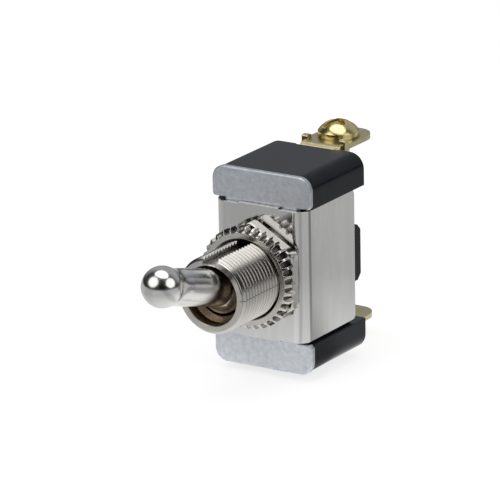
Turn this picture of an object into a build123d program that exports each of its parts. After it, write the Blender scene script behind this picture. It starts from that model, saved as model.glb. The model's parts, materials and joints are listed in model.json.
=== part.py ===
from build123d import *
import os
from math import atan2, cos, degrees, radians, sin, sqrt, tan

# Heavy-duty panel toggle switch, on-off, with screw terminals. Millimetres, +Z up along the case,
# the threaded bushing points along -Y. The origin is where the bushing's axis meets the mounting
# face, which is the front of the clamp yoke. The lever is modelled thrown fully up.

# Bushing and its thread
thread_diameter = 11.906
bushing_length = 13.7
mouth_wall = 1.35
keyway_width = 2.4
keyway_depth = 1.0
keyway_end_gap = 1.6
bushing_chamfer = 0.45
thread_relief = 0.2
thread_relief_lead = 0.1
flange_thickness = 1.4
flange_height = 14.4
flange_corner = 2.5

# Lever and its pivot
pivot_depth = 4.8
throw_angle = 32.0
socket_wall = 1.76
ball_clearance = 0.12
retaining_lip_overlap = 0.34
retaining_lip_width = 0.4
lever_reach = 18.3
shank_diameter = 5.7
tip_swell = 0.3
neck_step = 0.1
tail_diameter = 3.6
tail_length = 9.0
tail_wall = 0.5
pivot_pin_diameter = 1.6
groove_wall = 1.0
groove_clearance = 0.06
tail_swing_gap = 0.3

# Plunger and spring
plunger_reach = 14.4
plunger_tip_radius = 1.2
plunger_head_diameter = 3.4
plunger_stem_length = 4.6
plunger_travel = 1.0
plunger_clearance = 0.08
spring_wire = 0.35
spring_turns = 4

# Clamp yoke, mounting plate and case
sheet = 0.8
yoke_shoulder = 2.047
yoke_height = 20.6
yoke_bend_radius = 2.0
wing_setback = 0.45
yoke_nub_width = 7.0
yoke_nub_height = 0.2
crimp_tab_width = 4.6
crimp_tab_length = 3.0
crimp_tab_gap = 0.5
block_overhang = 0.65
plate_corner = 2.1
ear_inner_corner = 0.6
sheet_edge = 0.15
waist_clearance = 0.45
case_floor = 4.4
case_corner = 2.4
case_edge = 0.25
side_wall = 1.55
end_wall = 1.3
cavity_rear_space = 3.8
yoke_clearance = 0.05
block_gap = 0.1
crimp_recess_depth = 2.4
boss_height = 8.8
boss_bevel = 0.9
boss_recess = 0.2
boss_gap = 0.15
seat_clearance = 0.1
ledge_width = 0.75
tab_notch_depth = 0.5

# Insulator between the bushing's flange and the contacts
insulator_thickness = 0.4
insulator_slot_width = 4.2

# Rocker, its cradle and the contacts
rocker_pivot_y = 8.4
rocker_ratio = 0.55
rocker_width = 5.0
rocker_sheet = 0.8
rocker_half_length = 4.9
rocker_tip_clearance = 0.08
contact_arm = 8.4
contact_arm_setback = 0.75
rocker_pin_diameter = 1.4
rocker_pin_clearance = 0.04
rocker_ear_radius = 1.35
contact_diameter = 3.2
contact_height = 0.9
contact_stem_diameter = 1.6
contact_rest_gap = 0.05
cradle_side_gap = 0.15
cradle_ear_radius = 1.8

# Terminals, screws and rivets
strap_sheet = 0.8
strap_width = 6.9
strap_bend = 0.55
terminal_leg_margin = 0.7
terminal_wall = 1.8
slot_clearance = 0.05
terminal_step = 1.35
tab_width = 7.7
tab_end_radius = 3.0
tab_reach = 11.9
tab_shoulder = 2.2
lug_width = 1.0
lug_height = 0.75
lug_length = 1.2
screw_setback = 6.7
screw_diameter = 3.4
screw_length = 5.5
screw_head_diameter = 6.4
screw_head_rim = 0.9
screw_head_dome = 1.7
screw_slot_width = 1.1
screw_slot_depth = 1.0
screw_slot_angle = -32.0
rivet_diameter = 1.8
rivet_head_diameter = 3.2
rivet_head_height = 0.5
rivet_sink_depth = 0.8
rivet_height = 1.6
drive_pin_diameter = 1.4
drive_pin_head_diameter = 2.6
drive_pin_length = 4.6
drive_pin_gap = 0.32

# Hardware on the bushing
washer_rim = 1.05
washer_thickness = 0.6
washer_teeth = 12
hex_wall = 1.4
hex_thickness = 1.8
nut_thread_clearance = 0.03
face_nut_wall = 2.02
face_nut_thickness = 2.0
face_nut_teeth = 36
face_nut_groove_radius = 0.5
face_nut_groove_depth = 0.5
face_nut_bevel = 0.75
face_nut_countersink = 0.25

# Levels worked out from the sizes above
thread_radius = thread_diameter / 2
bushing_front = -bushing_length
pivot_y = bushing_front + pivot_depth
half_throw = throw_angle / 2
socket_radius = thread_radius - socket_wall
ball_radius = socket_radius - ball_clearance
lip_radius = socket_radius - retaining_lip_overlap
mouth_radius = thread_radius - mouth_wall
tip_radius = shank_diameter / 2 + tip_swell
neck_radius = shank_diameter / 2 - neck_step
tail_bore = tail_diameter - 2 * tail_wall
pivot_pin_length = 2 * (thread_radius - groove_wall - groove_clearance)
plate_front = sheet
yoke_width = thread_diameter + 2 * yoke_shoulder
plate_width = yoke_width + 2 * block_overhang
plate_waist = yoke_width - 2 * sheet - 2 * waist_clearance
hex_across_flats = thread_diameter + 2 * hex_wall
hex_front = -washer_thickness - hex_thickness
face_nut_front = hex_front - face_nut_thickness
nut_bore = thread_radius + nut_thread_clearance
case_front = 2 * sheet
cavity_rear = rocker_pivot_y + cavity_rear_space
cavity_depth = cavity_rear - case_front
case_rear = cavity_rear + case_floor
case_depth = case_rear - case_front
crimp_recess_front = case_rear - crimp_recess_depth
crimp_tab_rear = crimp_recess_front + sheet
yoke_depth = crimp_tab_rear - wing_setback
flange_rear = case_front + flange_thickness
ledge_y = flange_rear + insulator_thickness
waist_half = yoke_width / 2 - sheet - yoke_clearance
cavity_half_width = waist_half - side_wall
seat_half_width = cavity_half_width + ledge_width
block_start = yoke_height / 2 + yoke_nub_height + block_gap
upper_leg_y = cavity_rear - slot_clearance - strap_sheet / 2
tab_end_y = case_rear + tab_reach
shoulder_y = case_rear + tab_shoulder
screw_y = case_rear + screw_setback


def rocker_frame(y, z, turn):
    """Put a point of the rocker's own frame into the part's frame, with the rocker turned by turn."""
    a = radians(turn)
    return rocker_pivot_y + y * cos(a) - z * sin(a), y * sin(a) + z * cos(a)


def tip_in_rocker(swing):
    """Where the plunger's tip centre lies in the rocker's frame when the lever has swung so far."""
    a = radians(swing)
    b = radians(swing * rocker_ratio)
    y = plunger_reach * cos(a) - (rocker_pivot_y - pivot_y)
    z = -plunger_reach * sin(a)
    return y * cos(b) + z * sin(b), -y * sin(b) + z * cos(b)


# The tip's path over the rocker is close to an arc, and the rocker's dish runs behind it
centre_y, _ = tip_in_rocker(0)
end_y, end_z = tip_in_rocker(half_throw)
path_rise = centre_y - end_y
path_radius = (end_z ** 2 + path_rise ** 2) / (2 * path_rise)
dish_radius = path_radius + plunger_tip_radius + rocker_tip_clearance
dish_centre = centre_y - path_radius
dish_end = dish_centre + sqrt(dish_radius ** 2 - rocker_half_length ** 2)
contact_arm_front = dish_end + contact_arm_setback
contact_arm_rear = contact_arm_front + rocker_sheet
rocker_turn = half_throw * rocker_ratio
contact_face, contact_level = rocker_frame(contact_arm_rear + contact_height, -contact_arm, rocker_turn)
fixed_leg_front = contact_face + contact_rest_gap + contact_height
fixed_leg_y = fixed_leg_front + strap_sheet / 2

# The lower contact sets the drive pin, the terminals' level and the height of the case
drive_pin_height = contact_level - (contact_diameter + drive_pin_head_diameter) / 2 - drive_pin_gap
terminal_slot_level = drive_pin_head_diameter / 2 + terminal_leg_margin - drive_pin_height
upper_tab_level = terminal_slot_level + terminal_step
plate_height = 2 * (terminal_slot_level + terminal_wall)
cavity_half_height = plate_height / 2 - end_wall
seat_half_height = cavity_half_height + ledge_width * 0.6


def along_bushing(profile_points):
    """Solid of revolution about the Y axis from (radius, y) points."""
    outline = make_face(Polyline(*profile_points, close=True))
    return revolve(outline, Axis.Y)


def hexagon(across_flats, thickness, front):
    """Hexagonal prism about the Y axis with corners up and down, its front face at y = front."""
    outline = RegularPolygon(across_flats / 2, 6, major_radius=False, rotation=30)
    body = extrude(Plane.XZ * outline, -thickness)
    return Pos(0, front, 0) * body


def box_between(low, high):
    """Box from its lowest corner to its highest one."""
    size = [h - l for l, h in zip(low, high)]
    middle = [(h + l) / 2 for l, h in zip(low, high)]
    return Pos(*middle) * Box(*size)


def rounded_plate(width, height, corner, front, thickness):
    """Flat rounded rectangle that faces -Y, with its front face at y = front."""
    outline = RectangleRounded(width, height, corner)
    return Pos(0, front, 0) * extrude(Plane.XZ * outline, -thickness)


def rod_y(radius, y0, y1, x=0, z=0):
    """Round bar along Y between two levels."""
    return Pos(x, (y0 + y1) / 2, z) * Rot(X=90) * Cylinder(radius, y1 - y0)


def rod_x(radius, length, y, z):
    """Round bar along X, centred on the middle plane."""
    return Pos(0, y, z) * Rot(Y=90) * Cylinder(radius, length)


def bent_strip(points, bend, thickness, width):
    """Strip of sheet bent along (y, z) points of its middle line."""
    path = FilletPolyline(*points, radius=bend)
    profile = trace(path, thickness)
    return extrude(Plane.YZ * profile, width / 2, both=True)


def thrown(shape):
    """Turn a piece that is modelled straight along the bushing into the lever's rest position."""
    return Pos(0, pivot_y, 0) * Rot(X=-half_throw) * Pos(0, -pivot_y, 0) * shape


def bushing():
    """Threaded barrel with its keyway, ball socket and rear flange."""
    r = thread_radius
    rear = flange_rear
    swing = tan(radians(half_throw))
    tail_side = plunger_head_diameter / 2 / cos(radians(half_throw)) + tail_swing_gap
    flare_rear = (rear - pivot_y) * swing + tail_side
    flare_start = pivot_y + (socket_radius - tail_side) / swing
    lip_rear = pivot_y - sqrt(socket_radius ** 2 - lip_radius ** 2)
    lip_front = lip_rear - retaining_lip_width
    mouth_start = lip_front - (mouth_radius - lip_radius)
    relief_start = face_nut_front - thread_relief_lead
    barrel = along_bushing([
        (0, bushing_front),
        (r - bushing_chamfer, bushing_front),
        (r, bushing_front + bushing_chamfer),
        (r, relief_start),
        (r - thread_relief, relief_start),
        (r - thread_relief, rear),
        (0, rear),
    ])
    flange = rounded_plate(2 * seat_half_width - 2 * seat_clearance, flange_height, flange_corner,
                           case_front, flange_thickness)
    hollow = along_bushing([
        (0, bushing_front),
        (mouth_radius, bushing_front),
        (mouth_radius, mouth_start),
        (lip_radius, lip_front),
        (lip_radius, pivot_y),
        (socket_radius, pivot_y),
        (socket_radius, flare_start),
        (flare_rear, rear),
        (0, rear),
    ])
    socket = Pos(0, pivot_y, 0) * Sphere(socket_radius)
    groove_half = pivot_pin_diameter / 2 + groove_clearance
    groove_reach = pivot_pin_length / 2 + groove_clearance
    groove = box_between((-groove_reach, pivot_y, -groove_half), (groove_reach, rear, groove_half))
    groove += rod_x(groove_half, 2 * groove_reach, pivot_y, 0)
    keyway = box_between((-keyway_width / 2, bushing_front, r - keyway_depth),
                         (keyway_width / 2, -keyway_end_gap, r + keyway_depth))
    return barrel + flange - hollow - socket - groove - keyway


def lever():
    """Bat lever with its pivot ball and the hollow tail that holds the spring."""
    shank = shank_diameter / 2
    tip_y = pivot_y - lever_reach
    neck_y = tip_y + sqrt(tip_radius ** 2 - neck_radius ** 2)
    shank_start = neck_y + tip_radius
    stem = along_bushing([
        (0, tip_y),
        (neck_radius, tip_y),
        (neck_radius, neck_y),
        (shank, shank_start),
        (shank, pivot_y),
        (tail_diameter / 2, pivot_y),
        (tail_diameter / 2, pivot_y + tail_length),
        (0, pivot_y + tail_length),
    ])
    body = stem + Pos(0, tip_y, 0) * Sphere(tip_radius) + Pos(0, pivot_y, 0) * Sphere(ball_radius)
    body -= rod_y(tail_bore / 2, bore_floor(), pivot_y + tail_length)
    body -= rod_x(pivot_pin_diameter / 2, 2 * ball_radius, pivot_y, 0)
    return thrown(body)


def bore_floor():
    """Level of the bottom of the lever's spring bore, just behind the pivot pin."""
    return pivot_y + pivot_pin_diameter / 2 + 0.5


def stem_end():
    """Level of the front end of the plunger's stem, inside the lever's bore."""
    return pivot_y + tail_length - plunger_stem_length


def pivot_pin():
    """Cross pin of the ball, whose ends turn in the bushing's grooves."""
    pin = rod_x(pivot_pin_diameter / 2, pivot_pin_length, pivot_y, 0)
    return thrown(chamfer(pin.edges(), 0.15))


def plunger():
    """Moulded plunger that slides in the lever's tail and rides on the rocker."""
    tip_y = pivot_y + plunger_reach
    head_front = pivot_y + tail_length + plunger_travel
    head = plunger_head_diameter / 2
    stem = tail_bore / 2 - plunger_clearance
    taper_start = tip_y - plunger_head_diameter * 0.6
    body = along_bushing([
        (0, stem_end()),
        (stem, stem_end()),
        (stem, head_front),
        (head, head_front),
        (head, taper_start),
        (plunger_tip_radius, tip_y),
        (0, tip_y),
    ])
    return thrown(body + Pos(0, tip_y, 0) * Sphere(plunger_tip_radius))


def plunger_spring():
    """Compression spring between the bottom of the bore and the plunger's stem."""
    mean_radius = tail_bore / 2 - plunger_clearance - spring_wire / 2
    length = stem_end() - bore_floor() - spring_wire
    line = Helix(pitch=length / spring_turns, height=length, radius=mean_radius)
    start = Plane(origin=line @ 0, z_dir=line % 0)
    coil = sweep(start * RegularPolygon(spring_wire / 2, 6), path=line)
    return thrown(Pos(0, bore_floor() + spring_wire / 2, 0) * Rot(X=-90) * coil)


def yoke():
    """Sheet yoke whose sides wrap the case and whose tabs are crimped over its rear."""
    half = yoke_width / 2
    front = Plane.XY * make_face(Polyline(
        (-half, 0), (half, 0), (half, yoke_depth), (half - sheet, yoke_depth),
        (half - sheet, sheet), (sheet - half, sheet), (sheet - half, yoke_depth), (-half, yoke_depth),
        close=True))
    body = extrude(front, yoke_height / 2, both=True)
    outer = body.edges().filter_by(Axis.Z).group_by(Axis.Y)[0]
    body = fillet(outer, yoke_bend_radius)
    inner = [e for e in body.edges().filter_by(Axis.Z)
             if abs(e.center().Y - sheet) < 0.01 and abs(abs(e.center().X) - half + sheet) < 0.01]
    body = fillet(inner, yoke_bend_radius - sheet)
    corners = [e for e in body.edges().filter_by(Axis.X) if abs(e.center().Y - yoke_depth) < 0.01]
    body = fillet(corners, sheet)
    body += box_between((-yoke_nub_width / 2, 0, -yoke_height / 2 - yoke_nub_height),
                        (yoke_nub_width / 2, sheet, yoke_height / 2 + yoke_nub_height))
    body -= rod_y(nut_bore, -sheet, 2 * sheet)
    tab_height = boss_height / 2 + crimp_tab_gap + crimp_tab_width / 2
    for side in (-1, 1):
        for level in (-tab_height, tab_height):
            edge = side * half
            inner_end = side * (half - crimp_tab_length)
            low = (min(edge, inner_end), yoke_depth - sheet, level - crimp_tab_width / 2)
            high = (max(edge, inner_end), crimp_tab_rear, level + crimp_tab_width / 2)
            tab = box_between(low, high)
            bend = [e for e in tab.edges().filter_by(Axis.Z)
                    if abs(e.center().X - edge) < 0.01 and abs(e.center().Y - crimp_tab_rear) < 0.01]
            tab = fillet(bend, sheet * 0.9)
            behind_wing = box_between((-half + sheet, 0, -yoke_height),
                                      (half - sheet, crimp_recess_front, yoke_height))
            body += tab - behind_wing
    return body


def mounting_plate():
    """Flat plate with two full-width ears, narrowed where the yoke wraps the case."""
    plate = rounded_plate(plate_width, plate_height, plate_corner, plate_front, sheet)
    notch_width = (plate_width - plate_waist) / 2
    for side in (-1, 1):
        x = side * (plate_waist + notch_width) / 2
        notch = Pos(x, plate_front + sheet / 2, 0) * Box(notch_width, 2 * sheet, 2 * block_start)
        plate -= notch
    lips = [e for e in plate.edges().filter_by(Axis.Y) if abs(abs(e.center().Z) - block_start) < 0.01]
    lips = [e for e in lips if abs(abs(e.center().X) - plate_width / 2) < 0.01]
    plate = fillet(lips, ear_inner_corner)
    waist = [e for e in plate.edges().filter_by(Axis.Z)
             if abs(e.center().Y - plate_front) < 0.01 and abs(abs(e.center().X) - plate_waist / 2) < 0.01]
    plate = fillet(waist, sheet * 0.97)
    rim = [e for e in plate.edges().group_by(Axis.Y)[0] if abs(e.center().Z) > block_start - 0.01]
    plate = chamfer(rim, sheet_edge)
    return plate - rod_y(nut_bore, 0, case_front + sheet)


def case():
    """Moulded case: two full-width blocks, a waist for the yoke, a rear boss and the contact cavity."""
    body = rounded_plate(plate_width, plate_height, case_corner, case_front, case_depth)
    rear_rim = [e for e in body.edges() if abs(e.center().Y - case_rear) < 0.01]
    body = fillet(rear_rim, case_edge)
    waist_cut = plate_width / 2 - waist_half
    for side in (-1, 1):
        x = side * (waist_half + waist_cut / 2)
        body -= Pos(x, (case_front + case_rear) / 2, 0) * Box(waist_cut, 2 * case_depth, 2 * block_start)
    fronts = [e for e in body.edges().filter_by(Axis.Z)
              if abs(e.center().Y - case_front) < 0.01 and abs(abs(e.center().X) - waist_half) < 0.01]
    body = chamfer(fronts, sheet / 2)
    for side in (-1, 1):
        z0, z1 = sorted((side * boss_height / 2, side * block_start))
        body -= box_between((-plate_width, crimp_recess_front, z0), (plate_width, case_rear + 1, z1))
    boss_half = yoke_width / 2 - boss_recess
    body += box_between((-boss_half, yoke_depth + boss_gap, -boss_height / 2),
                        (boss_half, case_rear, boss_height / 2))
    boss_rim = [e for e in body.edges().filter_by(Axis.X)
                if abs(e.center().Y - case_rear) < 0.01 and abs(abs(e.center().Z) - boss_height / 2) < 0.01]
    body = chamfer(boss_rim, boss_bevel)

    body -= rounded_plate(2 * cavity_half_width, 2 * cavity_half_height, side_wall, case_front, cavity_depth)
    body -= rounded_plate(2 * seat_half_width, 2 * seat_half_height, side_wall, case_front,
                          ledge_y - case_front)
    pad_front = fixed_leg_y + strap_sheet / 2 + slot_clearance
    pad_top = contact_level + contact_diameter * 0.8
    pad = box_between((-cavity_half_width, pad_front, -cavity_half_height),
                      (cavity_half_width, cavity_rear, pad_top))
    body += pad
    slot_half = strap_sheet / 2 + slot_clearance
    for level in (-terminal_slot_level, terminal_slot_level):
        front = pad_front - slot_clearance if level < 0 else cavity_rear - 2 * strap_sheet
        body -= box_between((-strap_width / 2 - slot_clearance, front, level - slot_half),
                            (strap_width / 2 + slot_clearance, case_rear + 1, level + slot_half))
    notch_half = strap_width / 2
    notch = box_between((-notch_half, case_rear - tab_notch_depth, plate_height / 2 - tab_notch_depth),
                        (notch_half, case_rear + 1, plate_height / 2 + 1))
    body -= notch
    body -= rod_y(rivet_diameter / 2, case_front, case_rear + 1, z=rivet_height)
    body -= rod_y(rivet_head_diameter / 2 + seat_clearance, case_rear - rivet_sink_depth,
                  case_rear + 1, z=rivet_height)
    pin_end = fixed_leg_front + drive_pin_length
    return body - rod_y(drive_pin_diameter / 2, fixed_leg_front, pin_end, z=drive_pin_height)


def insulator():
    """Fibre sheet on the cavity's ledge, slotted for the lever's tail."""
    width = 2 * (seat_half_width - seat_clearance)
    height = 2 * (seat_half_height - seat_clearance)
    sheet_body = rounded_plate(width, height, side_wall, flange_rear, insulator_thickness)
    reach = (ledge_y - pivot_y) * tan(radians(half_throw))
    side = plunger_head_diameter / 2 / cos(radians(half_throw)) + tail_swing_gap
    slot = SlotOverall(2 * (reach + side), insulator_slot_width, rotation=90)
    return sheet_body - Pos(0, flange_rear - 1, 0) * extrude(Plane.XZ * slot, -insulator_thickness - 2)


def rocker():
    """Moving contact arm: a dish that the plunger rides in, a contact arm and two pivot ears."""
    inner = dish_radius
    outer = dish_radius + rocker_sheet
    half = rocker_half_length
    width = rocker_width / 2
    ring = Pos(dish_centre, 0) * (Circle(outer) - Circle(inner))
    window = Pos(dish_centre + outer, 0) * Rectangle(2 * outer, 2 * half)
    dish = ring & window
    outer_end = dish_centre + sqrt(outer ** 2 - half ** 2)
    knee = half + contact_arm_setback + rocker_sheet
    arm_end = contact_arm + contact_diameter / 2
    arm = make_face(Polyline(
        (dish_end, -half), (outer_end, -half), (contact_arm_rear, -knee), (contact_arm_rear, -arm_end),
        (contact_arm_front, -arm_end), (contact_arm_front, -knee), close=True))
    strip = extrude(Plane.YZ * (dish + arm), width, both=True)
    ear_outline = Circle(rocker_ear_radius) + Pos(dish_surface() / 2, 0) * Rectangle(
        -dish_surface(), 2 * rocker_ear_radius)
    ears = extrude(Plane.YZ * ear_outline, width, both=True)
    ears -= Box(2 * (width - rocker_sheet), 20 * width, 20 * width)
    body = strip + ears
    body -= rod_x(rocker_pin_diameter / 2 + rocker_pin_clearance, 2 * rocker_width, 0, 0)
    body -= rod_y(contact_stem_diameter / 2, contact_arm_front - 1, contact_arm_rear + 1, z=-contact_arm)
    return turned_rocker(body)


def dish_surface():
    """Depth of the dish's front surface at its middle, measured from the rocker's axis."""
    return dish_centre + dish_radius


def turned_rocker(shape):
    """Put a piece from the rocker's own frame into its rest position."""
    return Pos(0, rocker_pivot_y, 0) * Rot(X=rocker_turn) * shape


def contact_button(face_y, base_y, stem_y, z):
    """Riveted contact with a slightly crowned face, between the face, the sheet and the stem's end."""
    facing = 1 if face_y > base_y else -1
    radius = contact_diameter / 2
    height = abs(face_y - base_y)
    crown = radius * 0.12
    dome_radius = (radius ** 2 + crown ** 2) / (2 * crown)
    head = rod_y(radius, min(base_y, face_y), max(base_y, face_y), z=z)
    head &= Pos(0, base_y + facing * (height - dome_radius), z) * Sphere(dome_radius)
    y0, y1 = sorted((base_y, stem_y))
    return head + rod_y(contact_stem_diameter / 2, y0, y1, z=z)


def rocker_contact():
    """Silver contact riveted through the rocker's arm."""
    return turned_rocker(contact_button(contact_arm_rear + contact_height, contact_arm_rear,
                                        contact_arm_front, -contact_arm))


def fixed_contact():
    """Silver contact riveted through the lower terminal's leg."""
    return contact_button(fixed_leg_front - contact_height, fixed_leg_front,
                          fixed_leg_front + strap_sheet, contact_level)


def rocker_pin():
    """Pin through the cradle's ears that the rocker turns on."""
    length = rocker_width + 2 * (cradle_side_gap + strap_sheet)
    return rod_x(rocker_pin_diameter / 2, length, rocker_pivot_y, 0)


def terminal_tab_shape(strap, level, outward):
    """Shape a strap's outer end: full-width tab with a rounded end, upturned lugs and the screw's hole."""
    for x in (-1, 1):
        low, high = sorted((x * strap_width / 2, x * (tab_width / 2 + 1)))
        strap -= box_between((low, 0, -plate_height), (high, shoulder_y, plate_height))
    corners = [e for e in strap.edges().filter_by(Axis.Z)
               if abs(e.center().Y - tab_end_y) < 0.01]
    strap = fillet(corners, tab_end_radius)
    for x in (-1, 1):
        low, high = sorted((x * (tab_width / 2), x * (tab_width / 2 - lug_width)))
        z0, z1 = sorted((level, level + outward * (strap_sheet / 2 + lug_height)))
        lug = box_between((low, shoulder_y, z0), (high, shoulder_y + lug_length, z1))
        crest = [e for e in lug.edges().filter_by(Axis.X) if abs(e.center().Z - level) > lug_height]
        strap += fillet(crest, min(lug_height, lug_length) * 0.35)
    hole = Pos(0, screw_y, level) * Cylinder(screw_diameter / 2, 4 * strap_sheet)
    return strap - hole


def common_terminal():
    """Upper terminal: tab, step over the case's edge, leg down the cavity and the rocker's cradle."""
    level = terminal_slot_level
    step_y = case_rear + strap_sheet
    cradle_drop = cradle_ear_radius + 0.4
    strap = bent_strip([
        (tab_end_y, upper_tab_level),
        (step_y + terminal_step * 0.6, upper_tab_level),
        (step_y, level),
        (upper_leg_y, level),
        (upper_leg_y, -cradle_drop),
    ], strap_bend, strap_sheet, tab_width)
    strap = terminal_tab_shape(strap, upper_tab_level, 1)
    inner = rocker_width / 2 + cradle_side_gap
    ear_outline = Pos(rocker_pivot_y, 0) * Circle(cradle_ear_radius)
    ear_outline += Pos((rocker_pivot_y + upper_leg_y) / 2, 0) * Rectangle(
        upper_leg_y - rocker_pivot_y, 2 * cradle_ear_radius)
    ears = extrude(Plane.YZ * ear_outline, inner + strap_sheet, both=True)
    ears -= Box(2 * inner, 8 * case_depth, 8 * case_depth)
    strap += ears
    strap -= rod_x(rocker_pin_diameter / 2, 4 * rocker_width, rocker_pivot_y, 0)
    return strap - rod_y(rivet_diameter / 2, case_front, case_rear, z=rivet_height)


def fixed_terminal():
    """Lower terminal: tab, straight run through the case's wall and the leg with the fixed contact."""
    level = -terminal_slot_level
    leg_top = contact_level + contact_diameter / 2 + 0.5
    strap = bent_strip([
        (tab_end_y, level),
        (fixed_leg_y, level),
        (fixed_leg_y, leg_top),
    ], strap_bend, strap_sheet, tab_width)
    strap = terminal_tab_shape(strap, level, -1)
    strap -= rod_y(contact_stem_diameter / 2, case_front, case_rear, z=contact_level)
    return strap - rod_y(drive_pin_diameter / 2, case_front, case_rear, z=drive_pin_height)


def domed_head(diameter, base, facing, height):
    """Low domed head that stands on y = base and faces +Y or -Y."""
    radius = diameter / 2
    dome = (radius ** 2 + rivet_head_height ** 2) / (2 * rivet_head_height)
    y0, y1 = sorted((base, base + facing * rivet_head_height))
    head = rod_y(radius, y0, y1, z=height)
    return head & Pos(0, base + facing * (rivet_head_height - dome), height) * Sphere(dome)


def common_rivet():
    """Rivet that holds the upper terminal's leg to the boss, with its rear head sunk in the case."""
    leg_front = upper_leg_y - strap_sheet / 2
    shank_rear = case_rear - rivet_sink_depth
    body = rod_y(rivet_diameter / 2, leg_front, shank_rear, z=rivet_height)
    body += domed_head(rivet_head_diameter, leg_front, -1, rivet_height)
    return body + domed_head(rivet_head_diameter, shank_rear, 1, rivet_height)


def drive_pin():
    """Headed pin driven into the case through the lower terminal's leg."""
    body = rod_y(drive_pin_diameter / 2, fixed_leg_front, fixed_leg_front + drive_pin_length,
                 z=drive_pin_height)
    return body + domed_head(drive_pin_head_diameter, fixed_leg_front, -1, drive_pin_height)


def terminal_screw(outward):
    """Binding-head screw: domed head with a slot and cross recess, and a plain shank."""
    radius = screw_head_diameter / 2
    dome = (radius ** 2 + screw_head_dome ** 2) / (2 * screw_head_dome)
    top = screw_head_rim + screw_head_dome
    head = Pos(0, 0, top / 2) * Cylinder(radius, top)
    head &= Pos(0, 0, top - dome) * Sphere(dome)
    shank = Pos(0, 0, -screw_length / 2) * Cylinder(screw_diameter / 2, screw_length)
    shank = chamfer(shank.edges().group_by(Axis.Z)[0], screw_diameter * 0.1)
    turned = Rot(Z=screw_slot_angle) * Pos(0, 0, top)
    slot = turned * Box(screw_slot_width, 2 * radius, 2 * screw_slot_depth)
    cross = turned * Box(radius * 1.1, screw_slot_width * 0.8, 2 * screw_slot_depth)
    return Rot(X=0 if outward > 0 else 180) * (head + shank - slot - cross)


def placed_screw(level, outward):
    """Screw seated on the outer side of a terminal tab."""
    seat = level + outward * strap_sheet / 2
    return Pos(0, screw_y, seat) * terminal_screw(outward)


def lock_washer():
    """Internal-tooth lock washer against the yoke."""
    thickness = washer_thickness
    root = nut_bore + washer_rim / 2
    ring = rod_y(nut_bore + washer_rim, -thickness, 0)
    ring -= rod_y(root, -thickness - 1, 1)
    tooth_width = nut_bore * radians(360 / washer_teeth) * 0.6
    tooth = box_between((nut_bore - 0.2, -thickness, -tooth_width / 2), (root + 0.2, 0, tooth_width / 2))
    for i in range(washer_teeth):
        ring += Rot(Y=i * 360 / washer_teeth) * tooth
    return ring - rod_y(nut_bore, -thickness - 1, 1)


def hex_nut():
    """Thin hexagonal nut with both faces chamfered to the flats."""
    front = hex_front
    half = hex_across_flats / 2
    corner = half / cos(radians(30))
    drop = (corner - half) * tan(radians(25))
    body = hexagon(hex_across_flats, hex_thickness, front)
    body &= along_bushing([
        (0, front),
        (half, front),
        (corner, front + drop),
        (corner, front + hex_thickness - drop),
        (half, front + hex_thickness),
        (0, front + hex_thickness),
    ])
    return body - rod_y(nut_bore, front - 1, front + hex_thickness + 1)


def face_nut():
    """Round nut with coarse axial grooves round its rim and a plain front ring."""
    front = face_nut_front
    radius = nut_bore + face_nut_wall
    body = along_bushing([
        (nut_bore + face_nut_countersink, front),
        (radius - face_nut_bevel, front),
        (radius, front + face_nut_bevel),
        (radius, hex_front),
        (nut_bore, hex_front),
        (nut_bore, front + face_nut_countersink),
    ])
    groove_centre = radius - face_nut_groove_depth + face_nut_groove_radius
    outline = Plane.XZ * (Pos(groove_centre, 0) * RegularPolygon(face_nut_groove_radius, 8, rotation=22.5))
    groove = Pos(0, front, 0) * extrude(outline, 2 * face_nut_thickness, both=True)
    return body - [Rot(Y=(i + 0.5) * 360 / face_nut_teeth) * groove for i in range(face_nut_teeth)]


pieces = {
    "bushing": bushing(),
    "lever": lever(),
    "pivot_pin": pivot_pin(),
    "plunger": plunger(),
    "plunger_spring": plunger_spring(),
    "clamp_yoke": yoke(),
    "mounting_plate": mounting_plate(),
    "case": case(),
    "insulator_sheet": insulator(),
    "rocker_arm": rocker(),
    "rocker_contact": rocker_contact(),
    "rocker_pin": rocker_pin(),
    "common_terminal": common_terminal(),
    "common_rivet": common_rivet(),
    "common_screw": placed_screw(upper_tab_level, 1),
    "fixed_terminal": fixed_terminal(),
    "drive_pin": drive_pin(),
    "fixed_contact": fixed_contact(),
    "fixed_screw": placed_screw(-terminal_slot_level, -1),
    "lock_washer": lock_washer(),
    "hex_nut": hex_nut(),
    "face_nut": face_nut(),
}

os.makedirs("parts", exist_ok=True)
for name, shape in pieces.items():
    export_step(shape, f"parts/{name}.step")
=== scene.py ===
import json
from math import asin, atan2, cos, pi, radians, sin, sqrt

import bmesh
import bpy
from mathutils import Matrix, Vector


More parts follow.
